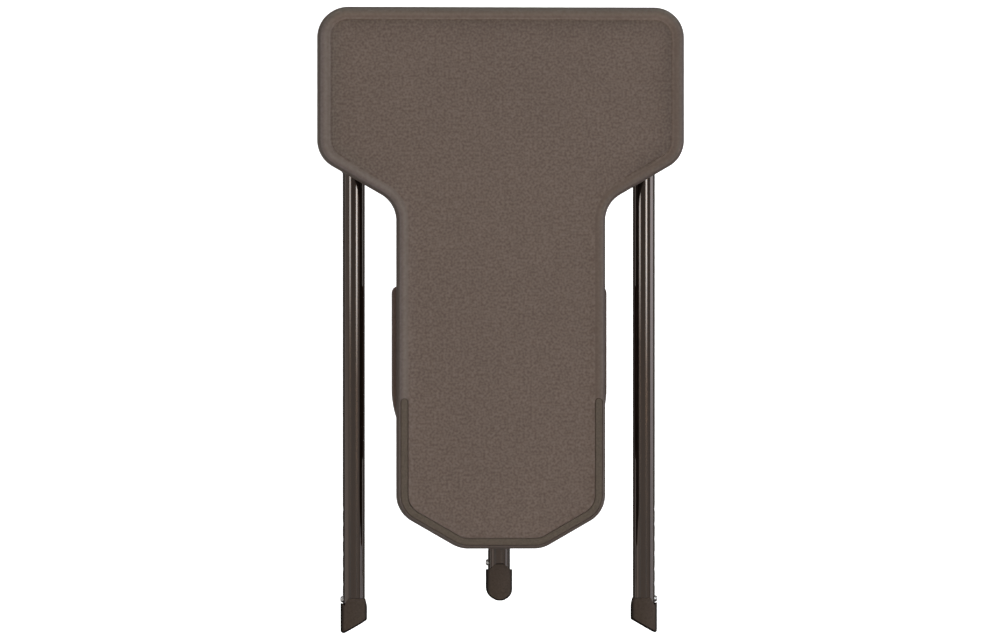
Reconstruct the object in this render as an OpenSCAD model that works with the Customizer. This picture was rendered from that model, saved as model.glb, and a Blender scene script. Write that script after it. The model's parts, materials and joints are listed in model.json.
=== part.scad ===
// Folding three-legged shower stool, stored flat: the seat faces up and the three legs lie folded under it.
// +Z is up through the seat, +Y points to the wide end of the seat and +X to its right-hand side.
// The origin is at the middle of the footprint, on the surface that the folded stool lies on.

/* [Seat] */
// Width of the seat across its wide end
seat_w = 366; // [360:1:370]
// Y of the wide end's edge
seat_rear_y = 312; // [310:0.5:314]
// Y of the tongue's end
tongue_end_y = -228; // [-232:0.5:-224]
// Width of the tongue
tongue_w = 208; // [204:1:210]
// Y where the wide end's sides turn inwards
shoulder_y = 162.1; // [160:0.1:164]
// Y where the tongue's sides turn inwards
toe_y = -191.8; // [-194:0.1:-190]
// Slope of the shoulders and of the toe
slant = 30; // [28:0.5:32]
// Radius of every corner of the outline
corner_r = 30; // [26:1:32]
// Height of the seat's underside above the surface
seat_z0 = 26; // [26:0.1:27]
// Thickness of the seat, up to the crest of its rim
seat_t = 24; // [23:0.5:26]
// Width of the raised rim
rim_w = 13; // [12:0.5:14]
// Depth of the recessed panel below the rim
panel_d = 1.2; // [0.6:0.1:1.6]
// Wall thickness of the moulded seat
wall = 3; // [2.6:0.1:3.4]

/* [Legs] */
// Outer diameter of the lower leg tubes
tube_od = 22.2; // [22:0.1:22.3]
// Outer diameter of the upper leg tubes
upper_od = 19.05; // [19:0.01:19.1]
// Distance between the two side legs
leg_gap = 291; // [288:1:292]
// Y of the side legs' hinge pins
side_hinge_y = 180; // [179:0.5:181]
// Y of the centre leg's hinge pin
centre_hinge_y = 281.7; // [281:0.1:282]
// Distance from a side hinge to the middle of its sole
side_leg_l = 486.95; // [486:0.05:488]
// Distance from the centre hinge to the middle of its sole
centre_leg_l = 550.5; // [549:0.1:551]
// Spacing of the height holes
hole_pitch = 15; // [14:1:16]
// Number of height holes
hole_n = 7; // [5:1:7]
// Diameter of a rubber foot
foot_d = 26.5; // [26.2:0.1:26.8]

/* [Hinges] */
// Diameter of a hinge pin
pin_d = 6; // [5.6:0.1:6.2]
// Tilt of the side hinge pins, which spreads the side legs
pin_tilt = 26.565; // [26:0.005:27]
// Angle that the centre leg's sole is cut at
centre_lean = 40; // [39:0.5:41]
// Angle that the side legs' soles are cut at
side_lean = 30; // [29:0.5:31]

/* [Hidden] */
$fn = 48;

seat_top = seat_z0 + seat_t;
panel_z = seat_top - panel_d;
leg_z = foot_d / 2;
pin_gap = 6;          // half the width of a knuckle
washer_t = 0.95;      // thickness of a hinge washer
ear_in = pin_gap + 1.05;
ear_t = 3;
ear_out = ear_in + ear_t;
lower_id = 19.75;
upper_id = 16.65;
tube_start = 16;      // from a pin to the end of its upper tube
collar_start = 22;    // from a pin to its glide collar
side_button_s = side_leg_l - 27.95;
centre_button_s = centre_leg_l - 26.4;
inlay_start_y = -82;
pan_spots = [[95, 285], [95, 180], [85, 85], [58, -178]];
grip_spots = [[34, 18], [92, -40], [40, -122]];
side_screws = [[-24, -12], [24, -12], [-24, 20], [24, 20]];
centre_screws = [[-23, -16], [23, -16], [-23, 14], [23, 14]];

// ---- outline of the seat ----
half_flat = tongue_w / 2 - (toe_y - tongue_end_y) / tan(slant);
waist_y = shoulder_y - (seat_w - tongue_w) / 2 * tan(slant);
corners = [[seat_w / 2, seat_rear_y], [-seat_w / 2, seat_rear_y], [-seat_w / 2, shoulder_y],
    [-tongue_w / 2, waist_y], [-tongue_w / 2, toe_y], [-half_flat, tongue_end_y],
    [half_flat, tongue_end_y], [tongue_w / 2, toe_y], [tongue_w / 2, waist_y], [seat_w / 2, shoulder_y]];

function unit(v) = v / norm(v);
function left_of(v) = [-v[1], v[0]];
function turned(v, a) = [v[0] * cos(a) - v[1] * sin(a), v[0] * sin(a) + v[1] * cos(a)];
// The corners of a closed outline moved inwards by d
function moved_in(p, d) = [for (i = [0:len(p) - 1]) let (
    n = len(p), u = unit(p[i] - p[(i + n - 1) % n]), v = unit(p[(i + 1) % n] - p[i]),
    a = left_of(u), b = left_of(v)) p[i] + (a + b) * d / (1 + a * b)];
// The same outline with an arc at each corner, of radius r less d outside corners and r plus d inside ones
function rounded(p, r, d = 0) = [for (i = [0:len(p) - 1]) let (
    n = len(p), u = unit(p[i] - p[(i + n - 1) % n]), v = unit(p[(i + 1) % n] - p[i]),
    t = asin(u[0] * v[1] - u[1] * v[0]), s = sign(t), q = s > 0 ? r - d : r + d,
    a = p[i] - u * q * tan(abs(t) / 2), c = a + left_of(u) * q * s, m = ceil(abs(t) / 7.5))
    for (k = [0:m]) c + turned(a - c, t * k / m)];
// The arc of radius r that rounds the corner at b on the way from a to c
function corner(a, b, c, r, m = 6) = let (u = unit(b - a), v = unit(c - b), t = atan2(u[0] * v[1] - u[1] * v[0], u * v), s = sign(t),
    p = b - u * r * tan(abs(t) / 2), q = p + left_of(u) * r * s) [for (k = [0:m]) q + turned(p - q, t * k / m)];
function seat_line(d) = rounded(moved_in(corners, d), corner_r, d);

module seat_layer(z0, z1, d) translate([0, 0, z0]) linear_extrude(z1 - z0) polygon(seat_line(d));

// The track of the grip strip: a band that follows the tongue's edge, with round ends
module inlay_track(z0, z1, in0, in1) {
    mid = tongue_w / 2 - (in0 + in1) / 2;
    difference() {
        seat_layer(z0, z1, in0);
        seat_layer(z0 - 1, z1 + 1, in1);
        translate([-200, inlay_start_y, z0 - 1]) cube([400, 500, z1 - z0 + 2]);
    }
    for (s = [-1, 1]) translate([s * mid, inlay_start_y, z0]) cylinder(d = in1 - in0, h = z1 - z0);
}

module both_sides() {
    children();
    mirror([1, 0, 0]) children();
}

module ribs() {
    z0 = seat_z0 + 5.7;
    h = seat_top - 5 - z0;
    for (x = [-75, 0, 75]) translate([x - 1.25, -205, z0]) cube([2.5, 500, h]);
    for (y = [235, 60, -10, -80, -150]) translate([y > 150 ? -181 : -102, y - 1.25, z0]) cube([y > 150 ? 362 : 204, 2.5, h]);
    translate([-165, 156, z0]) cube([330, 2.5, h]);
}

module seat_shell() color([0.40, 0.35, 0.31]) difference() {
    union() {
        difference() {
            union() {
                seat_layer(seat_z0, seat_z0 + 1.2, 1.2);
                seat_layer(seat_z0 + 1.2, seat_top - 6, 0);
                seat_layer(seat_top - 6, seat_top - 4, 0.4);
                seat_layer(seat_top - 4, seat_top - 2.6, 1);
                seat_layer(seat_top - 2.6, seat_top - 1.4, 2);
                seat_layer(seat_top - 1.4, seat_top - 0.6, 3.2);
                seat_layer(seat_top - 0.6, seat_top, 4.6);
            }
            seat_layer(seat_z0 - 1, seat_top - 4.8, wall);
            seat_layer(seat_top - 0.6, seat_top + 1, rim_w - 1);
            seat_layer(panel_z, seat_top + 1, rim_w + 0.5);
        }
        intersection() {
            ribs();
            seat_layer(seat_z0, seat_top - 4, 1.5);
        }
        both_sides() for (p = concat(pan_spots, grip_spots)) translate([p[0], p[1], seat_z0 + 2.4]) cylinder(d = 9, h = seat_t - 6.5);
    }
    both_sides() for (p = concat(pan_spots, grip_spots)) translate([p[0], p[1], seat_z0 - 1]) cylinder(d = 3.4, h = 15);
    inlay_track(seat_top - 2.2, seat_top + 1, 3, 10.8);
}

module tongue_inlay() color([0.34, 0.30, 0.26]) inlay_track(seat_top - 2.2, seat_top - 0.1, 3.1, 10.7);

module seat_underpan() color([0.33, 0.28, 0.25]) difference() {
    union() {
        seat_layer(seat_z0, seat_z0 + 2.4, wall + 0.3);
        seat_layer(seat_z0 + 2.3, seat_z0 + 4.4, wall + 0.3);
    }
    seat_layer(seat_z0 + 2.4, seat_z0 + 5, wall + 2.6);
    both_sides() for (p = concat(pan_spots, grip_spots)) translate([p[0], p[1], seat_z0 - 1]) cylinder(d = 3.9, h = 8);
    both_sides() for (p = side_screws) translate([leg_gap / 2 + p[0], side_hinge_y + p[1], seat_z0 - 1]) cylinder(d = 4.2, h = 8);
    for (p = centre_screws) translate([p[0], centre_hinge_y + p[1], seat_z0 - 1]) cylinder(d = 4.2, h = 8);
}

module stiffener_plate() color([0.62, 0.62, 0.62]) difference() {
    translate([0, 0, seat_z0 + 2.45]) linear_extrude(3) polygon([[-173, 177], [-164, 165], [164, 165], [173, 177],
        [173, 287], [162, 299], [-162, 299], [-173, 287]]);
    both_sides() for (p = pan_spots) translate([p[0], p[1], seat_z0]) cylinder(d = 9.8, h = 8);
    both_sides() for (p = side_screws) translate([leg_gap / 2 + p[0], side_hinge_y + p[1], seat_z0]) cylinder(d = 4.1, h = 8);
    for (p = centre_screws) translate([p[0], centre_hinge_y + p[1], seat_z0]) cylinder(d = 4.1, h = 8);
}

// A pan-head screw that points up, with its head's bearing face at z = 0 and a cross recess in the head
module screw(d, head_d, head_h, length) difference() {
    union() {
        translate([0, 0, -0.01]) cylinder(d = d, h = length - d / 2 + 0.01);
        translate([0, 0, length - d / 2]) cylinder(d1 = d, d2 = d / 4, h = d / 2);
        translate([0, 0, -head_h]) rotate_extrude() polygon([[0, 0], [head_d / 2 - 0.8, 0], [head_d / 2 - 0.2, 0.5],
            [head_d / 2, 1], [head_d / 2, head_h], [0, head_h]]);
    }
    for (a = [0, 90]) rotate(a) translate([-head_d * 0.3, -0.35, -head_h - 1]) cube([head_d * 0.6, 0.7, 2]);
}

module pan_screws() color([0.75, 0.75, 0.76]) both_sides() for (p = pan_spots)
    translate([p[0], p[1], seat_z0]) screw(3.4, 6.6, 1.7, 12);

module grip_screws() color([0.75, 0.75, 0.76]) both_sides() for (p = grip_spots)
    translate([p[0], p[1], seat_z0 - 3]) screw(3.4, 6.6, 1.7, 15);

module bracket_screws() color([0.75, 0.75, 0.76]) {
    both_sides() for (p = side_screws) translate([leg_gap / 2 + p[0], side_hinge_y + p[1], seat_z0 - 2.5]) screw(4, 7.4, 2, 10);
    for (p = centre_screws) translate([p[0], centre_hinge_y + p[1], seat_z0 - 2.5]) screw(4, 7.4, 2, 10);
}

// Two rubber pads that the folded centre leg lies against
module leg_rest_pads() color([0.12, 0.11, 0.10]) for (y = [62, -204])
    translate([-9, y, seat_z0 - 1.25]) cube([18, 16, 1.25]);

// One side grip: a hollow moulding screwed under the tongue, whose inner wall guides the centre leg
grip_line = [[14, 34], [14, -140], [78, -140], [92, -126], [107, -85.3], [107, 34]];
grip_r = [5, 5, 5, 5, 91, 7];
function grip_outline(d) = let (p = moved_in(grip_line, d), n = len(p))
    [for (i = [0:n - 1]) each corner(p[(i + n - 1) % n], p[i], p[(i + 1) % n], grip_r[i] - d)];
module grip() difference() {
    translate([0, 0, 2]) linear_extrude(seat_z0 - 2) polygon(grip_outline(0));
    translate([0, 0, 1]) linear_extrude(seat_z0 - 4) polygon(grip_outline(3));
    for (p = grip_spots) translate([p[0], p[1], 0]) cylinder(d = 3.9, h = 40);
}
module right_grip() color([0.33, 0.26, 0.22]) grip();
module left_grip() color([0.33, 0.26, 0.22]) mirror([1, 0, 0]) grip();

// ---- places of the three legs: the pin is at the origin, the leg runs along -Y and its outer side is +X ----
module right_place() translate([leg_gap / 2, side_hinge_y, leg_z]) children();
module left_place() mirror([1, 0, 0]) right_place() children();
module centre_place() translate([0, centre_hinge_y, leg_z]) mirror([1, 0, 0]) children();

// ---- hinges ----
module ear(x, r, up) translate([x, 0, 0]) rotate([90, 0, 90]) linear_extrude(ear_t) union() {
    circle(r = r);
    translate([-r, 0]) square([2 * r, up]);
}
module bracket(tilt, r, base_x, y0, y1, spots) difference() {
    union() {
        translate([-base_x, y0, seat_z0 - leg_z - 2.5]) cube([2 * base_x, y1 - y0, 2.5]);
        intersection() {
            translate([-base_x, -30, -20]) cube([2 * base_x, 60, seat_z0 - leg_z + 20 - 1]);
            rotate([0, -tilt, 0]) for (x = [-ear_out, ear_in]) ear(x, r, 24);
        }
    }
    rotate([0, 90 - tilt, 0]) cylinder(d = pin_d + 0.04, h = 60, center = true);
    for (p = spots) translate([p[0], p[1], 0]) cylinder(d = 4.2, h = 20);
}
module side_bracket() bracket(pin_tilt, 8.5, 30, -17, 25, side_screws);
module right_hinge_bracket() color([0.45, 0.44, 0.43]) right_place() side_bracket();
module left_hinge_bracket() color([0.45, 0.44, 0.43]) left_place() side_bracket();
module centre_hinge_bracket() color([0.45, 0.44, 0.43]) difference() {
    centre_place() bracket(0, leg_z, 29, -21, 19, [for (p = centre_screws) p]);
    translate([0, centre_hinge_y + 7, leg_z]) rotate([0, 90, 0]) cylinder(d = 3.2, h = 30);
}

// A hinge rivet with a domed head at one end and a peened head at the other
module hinge_rivet() rotate([0, 90, 0]) rotate_extrude() polygon([[0, -ear_out - 1.9], [3.6, -ear_out - 1.9],
    [4.4, -ear_out - 1.2], [4.4, -ear_out - 0.05], [pin_d / 2, -ear_out - 0.05], [pin_d / 2, ear_out + 0.05],
    [4.6, ear_out + 0.05], [4.6, ear_out + 1], [3.9, ear_out + 1.8], [2.6, ear_out + 2.2], [0, ear_out + 2.2]]);
module right_hinge_pin() color([0.78, 0.78, 0.78]) right_place() rotate([0, -pin_tilt, 0]) hinge_rivet();
module left_hinge_pin() color([0.78, 0.78, 0.78]) left_place() rotate([0, -pin_tilt, 0]) hinge_rivet();
// The centre pin ends flush with the bracket's ear on the side where the lock's housing covers its end
module centre_hinge_pin() color([0.78, 0.78, 0.78]) difference() {
    centre_place() hinge_rivet();
    translate([ear_out - 0.06, centre_hinge_y - 20, leg_z - 20]) cube([20, 40, 40]);
}

module washer_pair() for (x = [-pin_gap - 0.05 - washer_t, pin_gap + 0.05]) translate([x, 0, 0]) rotate([0, 90, 0]) difference() {
    cylinder(d = 10, h = washer_t);
    translate([0, 0, -1]) cylinder(d = pin_d + 0.1, h = washer_t + 2);
}
module hinge_washers() color([0.90, 0.89, 0.85]) {
    right_place() rotate([0, -pin_tilt, 0]) washer_pair();
    left_place() rotate([0, -pin_tilt, 0]) washer_pair();
    centre_place() washer_pair();
}

// ---- lock of the centre leg: a spring plunger beside its hinge ----
module lock_place() translate([0, centre_hinge_y + 7, leg_z]) rotate([0, 90, 0]) children();
module lock_housing() color([0.70, 0.70, 0.70]) lock_place() translate([0, 0, ear_out]) difference() {
    cylinder(d = 10.4, h = 11);
    translate([0, 0, -1]) cylinder(d = 7.4, h = 10.5);
    translate([0, 0, 5]) cylinder(d = 4.2, h = 10);
}
module lock_plunger() color([0.10, 0.10, 0.10]) lock_place() rotate_extrude() polygon([[0, pin_gap + 0.1], [1.1, pin_gap + 0.1],
    [1.5, pin_gap + 0.5], [1.5, ear_out + 0.5], [3.5, ear_out + 0.5], [3.5, ear_out + 1.9], [2, ear_out + 1.9],
    [2, ear_out + 12], [4.4, ear_out + 12], [4.6, ear_out + 13.4], [6.3, ear_out + 15], [6.5, ear_out + 16.5],
    [6.5, ear_out + 19.4], [5.9, ear_out + 20.6], [4.6, ear_out + 21.2], [0, ear_out + 21.4]]);

// A closed round wire wound into a coil along Z
module coil(r, wire, length, turns, steps) {
    m = turns * steps;
    rise = (length - wire) / turns;
    pts = [for (i = [0:m]) let (a = 360 * i / steps, z = wire / 2 + rise * i / steps) for (k = [0:7])
        let (b = 45 * k, q = r + wire / 2 * cos(b)) [q * cos(a), q * sin(a), z + wire / 2 * sin(b)]];
    sides = [for (i = [0:m - 1]) for (k = [0:7]) let (j = (k + 1) % 8) each
        [[i * 8 + k, i * 8 + j, (i + 1) * 8 + k], [i * 8 + j, (i + 1) * 8 + j, (i + 1) * 8 + k]]];
    polyhedron(pts, concat(sides, [[for (k = [0:7]) 7 - k], [for (k = [0:7]) m * 8 + k]]));
}
module lock_spring() color([0.80, 0.80, 0.80]) lock_place() translate([0, 0, ear_out + 2]) coil(2.75, 0.7, 7.4, 5, 12);

// ---- legs ----
module tube(od, id, s0, s1) translate([0, -s0, 0]) rotate([90, 0, 0]) difference() {
    cylinder(d = od, h = s1 - s0, $fn = 96);
    translate([0, 0, -1]) cylinder(d = id, h = s1 - s0 + 2, $fn = 96);
}
module cross_pins(d, half) for (s = [30, 38]) translate([0, -s, 0]) cylinder(d = d, h = 2 * half, center = true);

module knuckle(tilt, r) difference() {
    union() {
        rotate([0, 90 - tilt, 0]) cylinder(r = r, h = 2 * pin_gap, center = true);
        intersection() {
            rotate([0, -tilt, 0]) translate([-pin_gap, -tube_start, -7]) cube([2 * pin_gap, tube_start, 14]);
            translate([0, 1, 0]) rotate([90, 0, 0]) cylinder(d = 18.4, h = tube_start + 2);
        }
        translate([0, -tube_start + 2.2, 0]) rotate([90, 0, 0]) cylinder(d = 18.4, h = 2.201);
        translate([0, -tube_start, 0]) rotate([90, 0, 0]) cylinder(d = upper_id - 0.02, h = 28);
    }
    rotate([0, 90 - tilt, 0]) cylinder(d = pin_d + 0.1, h = 60, center = true);
    cross_pins(4, 20);
}
module right_knuckle() color([0.20, 0.20, 0.20]) right_place() knuckle(pin_tilt, 7.4);
module left_knuckle() color([0.20, 0.20, 0.20]) left_place() knuckle(pin_tilt, 7.4);
// The centre knuckle also has the hole that the lock's plunger drops into when the leg is open
module centre_knuckle() color([0.20, 0.20, 0.20]) difference() {
    centre_place() knuckle(0, 9.4);
    translate([0, centre_hinge_y + 7 * cos(90 - centre_lean), leg_z - 7 * sin(90 - centre_lean)]) rotate([0, 90, 0]) cylinder(d = 3.3, h = 30);
}

module knuckle_pins() cross_pins(3.98, 9.2);
module right_knuckle_pins() color([0.78, 0.78, 0.78]) right_place() knuckle_pins();
module left_knuckle_pins() color([0.78, 0.78, 0.78]) left_place() knuckle_pins();
module centre_knuckle_pins() color([0.78, 0.78, 0.78]) centre_place() knuckle_pins();

module upper_tube(button_s, past) difference() {
    tube(upper_od, upper_id, tube_start, button_s + past);
    translate([0, -button_s, 0]) rotate([0, 90, 0]) cylinder(d = 7, h = 20);
    cross_pins(4, 20);
}
module right_upper_tube() color([0.66, 0.64, 0.62]) right_place() upper_tube(side_button_s, 11);
module left_upper_tube() color([0.66, 0.64, 0.62]) left_place() upper_tube(side_button_s, 11);
module centre_upper_tube() color([0.66, 0.64, 0.62]) centre_place() upper_tube(centre_button_s, 6);

// Snap button: a domed pin with a flange, which stands on a leaf spring inside the upper tube
module snap_button(button_s) translate([0, -button_s, 0]) rotate([0, 90, 0]) rotate_extrude() polygon([[0, 4.2], [4.4, 4.2],
    [4.4, 6.4], [3.15, 6.4], [3.15, 12], [2.85, 12.7], [2.3, 13.15], [1.5, 13.4], [0, 13.5]]);
module right_snap_button() color([0.70, 0.68, 0.66]) right_place() snap_button(side_button_s);
module left_snap_button() color([0.70, 0.68, 0.66]) left_place() snap_button(side_button_s);
module centre_snap_button() color([0.70, 0.68, 0.66]) centre_place() snap_button(centre_button_s);

// Leaf spring bent to a V: one leaf carries the button, the other bears on the far wall of the tube
module button_spring(button_s) translate([0, -button_s, -3]) linear_extrude(6) polygon([[4.15, -5], [4.15, 6], [-0.4, 47.5],
    [-1.2, 49], [-2.6, 49], [-3.4, 47.5], [-7.6, -4], [-7, -4], [-2.8, 47.2], [-2.3, 48.3], [-1.6, 48.3], [-1.05, 47.2],
    [3.55, 5.9], [3.55, -5]]);
module right_button_spring() color([0.82, 0.82, 0.82]) right_place() button_spring(side_button_s);
module left_button_spring() color([0.82, 0.82, 0.82]) left_place() button_spring(side_button_s);
module centre_button_spring() color([0.82, 0.82, 0.82]) centre_place() button_spring(centre_button_s);

module lower_tube(button_s, end_s) difference() {
    tube(tube_od, lower_id, collar_start + 3, end_s);
    for (k = [0:hole_n - 1]) translate([0, -button_s + k * hole_pitch, 0]) rotate([0, 90, 0]) cylinder(d = 7, h = 20);
}
side_tube_end = side_leg_l - 14.2;
centre_tube_end = centre_leg_l - 16.5;
module right_lower_tube() color([0.27, 0.22, 0.19]) right_place() lower_tube(side_button_s, side_tube_end);
module left_lower_tube() color([0.27, 0.22, 0.19]) left_place() lower_tube(side_button_s, side_tube_end);
module centre_lower_tube() color([0.27, 0.22, 0.19]) centre_place() lower_tube(centre_button_s, centre_tube_end);

// Nylon collar on a lower tube's top end, which guides it along the upper tube
module glide_collar() translate([0, -collar_start, 0]) rotate([90, 0, 0]) rotate_extrude($fn = 96) polygon([[upper_od / 2 + 0.1, 0],
    [11.2, 0], [11.9, 0.7], [11.9, 10.3], [11.6, 11], [tube_od / 2 + 0.01, 11], [tube_od / 2 + 0.01, 2.98], [upper_od / 2 + 0.1, 2.98]]);
module right_glide_collar() color([0.10, 0.09, 0.08]) right_place() glide_collar();
module left_glide_collar() color([0.10, 0.09, 0.08]) left_place() glide_collar();
module centre_glide_collar() color([0.10, 0.09, 0.08]) centre_place() glide_collar();

// ---- feet ----
module foot_bore(end_s) translate([0, -end_s + 80, 0]) rotate([90, 0, 0]) cylinder(d = tube_od + 0.02, h = 80 + 1.7, $fn = 96);

// A side foot is cut square to the ground of the spread leg, and its rim is notched for the snap button
module side_foot() {
    r = foot_d / 2;
    rise = r * tan(side_lean);
    a = [r, -side_leg_l - rise];
    b = [-r, -side_leg_l + rise];
    top = -side_leg_l + 28.95;
    difference() {
        intersection() {
            translate([0, top + 1, 0]) rotate([90, 0, 0]) cylinder(r = r, h = 60, $fn = 96);
            translate([0, 0, -20]) linear_extrude(40) polygon(concat(
                [[-11.1, top], [-r - 1, top - 11.7]],
                corner([-r - 0.001, top], b - [0.001, 0], a, 2),
                corner(b, a, [r, top], 2.6),
                [[r, top - 4.6], [11.3, top - 5.2], [10.3, top - 7.3], [5.9, top]]));
        }
        foot_bore(side_tube_end);
    }
}
module right_foot() color([0.19, 0.16, 0.14]) right_place() side_foot();
module left_foot() color([0.19, 0.16, 0.14]) left_place() side_foot();

// The centre foot has a short raised tab in its rim above the tube and a longer one below it
module centre_foot() color([0.19, 0.16, 0.14]) centre_place() {
    r = foot_d / 2;
    rise = r * tan(centre_lean);
    rim = -centre_leg_l + 19.5;
    a = [-centre_leg_l - rise, r];
    b = [-centre_leg_l + rise, -r];
    difference() {
        intersection() {
            translate([0, rim + 20, 0]) rotate([90, 0, 0]) cylinder(r = r, h = 70, $fn = 96);
            translate([-20, 0, 0]) rotate([90, 0, 90]) linear_extrude(40) polygon(concat(
                [[rim + 30, r + 1]], corner([rim, r], a, b, 0.7), corner(a, b, [rim, -r], 2), [[rim + 30, -r - 0.001]]));
            union() {
                translate([0, 0, -20]) linear_extrude(40) polygon([[-20, rim], [-10.5, rim], [-3.7, rim + 6], [3.7, rim + 6],
                    [10.5, rim], [20, rim], [20, rim - 60], [-20, rim - 60]]);
                translate([0, 0, -20]) linear_extrude(20) polygon([[-8, rim - 1], [8, rim - 1], [8, rim + 15], [5, rim + 18],
                    [-5, rim + 18], [-8, rim + 15]]);
            }
        }
        foot_bore(centre_tube_end);
    }
}

module foot_washer(end_s) translate([0, -end_s - 0.1, 0]) rotate([90, 0, 0]) cylinder(d = 21.6, h = 1.55);
module right_foot_washer() color([0.78, 0.78, 0.78]) right_place() foot_washer(side_tube_end);
module left_foot_washer() color([0.78, 0.78, 0.78]) left_place() foot_washer(side_tube_end);
module centre_foot_washer() color([0.78, 0.78, 0.78]) centre_place() foot_washer(centre_tube_end);

seat_shell();
seat_underpan();
stiffener_plate();
tongue_inlay();
left_grip();
right_grip();
pan_screws();
grip_screws();
bracket_screws();
leg_rest_pads();
left_hinge_bracket();
right_hinge_bracket();
centre_hinge_bracket();
left_hinge_pin();
right_hinge_pin();
centre_hinge_pin();
hinge_washers();
lock_housing();
lock_plunger();
lock_spring();
left_knuckle();
right_knuckle();
centre_knuckle();
left_knuckle_pins();
right_knuckle_pins();
centre_knuckle_pins();
left_upper_tube();
right_upper_tube();
centre_upper_tube();
left_snap_button();
right_snap_button();
centre_snap_button();
left_button_spring();
right_button_spring();
centre_button_spring();
left_lower_tube();
right_lower_tube();
centre_lower_tube();
left_glide_collar();
right_glide_collar();
centre_glide_collar();
left_foot();
right_foot();
centre_foot();
left_foot_washer();
right_foot_washer();
centre_foot_washer();
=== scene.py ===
import json
import math

import bmesh
import bpy
from mathutils import Matrix, Vector


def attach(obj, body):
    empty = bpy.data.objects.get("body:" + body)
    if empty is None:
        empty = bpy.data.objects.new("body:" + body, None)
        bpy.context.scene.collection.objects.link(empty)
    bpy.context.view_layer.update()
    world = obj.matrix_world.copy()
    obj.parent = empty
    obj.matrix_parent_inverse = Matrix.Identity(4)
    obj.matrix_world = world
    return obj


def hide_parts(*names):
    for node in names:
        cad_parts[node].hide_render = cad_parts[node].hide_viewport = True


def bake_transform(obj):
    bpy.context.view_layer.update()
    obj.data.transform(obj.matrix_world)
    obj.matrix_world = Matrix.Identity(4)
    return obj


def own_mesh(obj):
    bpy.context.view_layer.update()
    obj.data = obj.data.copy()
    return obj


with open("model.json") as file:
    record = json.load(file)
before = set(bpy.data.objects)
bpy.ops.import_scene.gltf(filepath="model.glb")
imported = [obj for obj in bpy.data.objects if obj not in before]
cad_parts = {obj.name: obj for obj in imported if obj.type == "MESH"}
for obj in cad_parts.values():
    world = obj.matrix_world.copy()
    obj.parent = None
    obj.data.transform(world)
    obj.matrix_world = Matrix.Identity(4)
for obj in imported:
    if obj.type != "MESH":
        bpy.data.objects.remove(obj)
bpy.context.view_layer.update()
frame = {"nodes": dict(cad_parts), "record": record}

nodes = frame["nodes"]
MM = 0.001
SIDES = ("left", "right", "centre")


# ------------------------------------------------------------------ materials
def lin(r, g, b):
    """A colour given as 8-bit display values, as linear light."""
    return tuple(
        c / 12.92 if c <= 0.04045 else ((c + 0.055) / 1.055) ** 2.4
        for c in (r / 255, g / 255, b / 255)
    ) + (1.0,)


def scaled(c, k):
    return (c[0] * k, c[1] * k, c[2] * k, 1.0)


class Mat:
    """A small builder of node materials."""

    def __init__(self, name):
        self.m = bpy.data.materials.new(name)
        self.m.use_nodes = True
        self.t = self.m.node_tree
        self.b = self.t.nodes["Principled BSDF"]
        self.x = -300
        self.coord = self.t.nodes.new("ShaderNodeTexCoord")

    def node(self, kind, **props):
        n = self.t.nodes.new(kind)
        for k, v in props.items():
            setattr(n, k, v)
        return n

    def link(self, a, b):
        self.t.links.new(a, b)

    def noise(self, scale, detail=2.0, rough=0.5, stretch=None):
        n = self.node("ShaderNodeTexNoise")
        n.inputs["Scale"].default_value = scale
        n.inputs["Detail"].default_value = detail
        n.inputs["Roughness"].default_value = rough
        src = self.coord.outputs["Object"]
        if stretch:
            mp = self.node("ShaderNodeMapping")
            mp.inputs["Scale"].default_value = stretch
            self.link(src, mp.inputs["Vector"])
            src = mp.outputs["Vector"]
        self.link(src, n.inputs["Vector"])
        return n.outputs["Fac"]

    def ramp(self, fac, stops):
        r = self.node("ShaderNodeValToRGB")
        e = r.color_ramp.elements
        while len(e) < len(stops):
            e.new(0.5)
        for el, (p, c) in zip(e, stops):
            el.position = p
            el.color = c if len(c) == 4 else (*c, 1.0)
        self.link(fac, r.inputs["Fac"])
        return r.outputs["Color"]

    def mix(self, fac, a, b, kind="MIX"):
        n = self.node("ShaderNodeMix", data_type="RGBA", blend_type=kind)
        for sock, v in ((n.inputs[0], fac), (n.inputs[6], a), (n.inputs[7], b)):
            if hasattr(v, "is_linked") or hasattr(v, "links"):
                self.link(v, sock)
            else:
                sock.default_value = v
        return n.outputs[2]

    def times(self, colour, fac):
        """Colour times a grey factor, which may be over 1."""
        n = self.node("ShaderNodeVectorMath", operation="SCALE")
        self.link(colour, n.inputs[0])
        self.link(fac, n.inputs["Scale"])
        return n.outputs[0]

    def span(self, fac, lo, hi, a=0.0, b=1.0):
        n = self.node("ShaderNodeMapRange")
        n.inputs["From Min"].default_value = a
        n.inputs["From Max"].default_value = b
        n.inputs["To Min"].default_value = lo
        n.inputs["To Max"].default_value = hi
        self.link(fac, n.inputs["Value"])
        return n.outputs["Result"]

    def bump(self, height, strength, distance, normal=None):
        n = self.node("ShaderNodeBump")
        n.inputs["Strength"].default_value = strength
        n.inputs["Distance"].default_value = distance
        self.link(height, n.inputs["Height"])
        if normal is not None:
            self.link(normal, n.inputs["Normal"])
        return n.outputs["Normal"]

    def pointy(self, lo, hi):
        g = self.node("ShaderNodeNewGeometry")
        return self.span(g.outputs["Pointiness"], 0.0, 1.0, lo, hi)

    def colour(self, c):
        self.link(c, self.b.inputs["Base Color"])

    def rough(self, c):
        self.link(c, self.b.inputs["Roughness"])

    def normal(self, c):
        self.link(c, self.b.inputs["Normal"])

    def set(self, **kw):
        for k, v in kw.items():
            self.b.inputs[k].default_value = v


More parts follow.
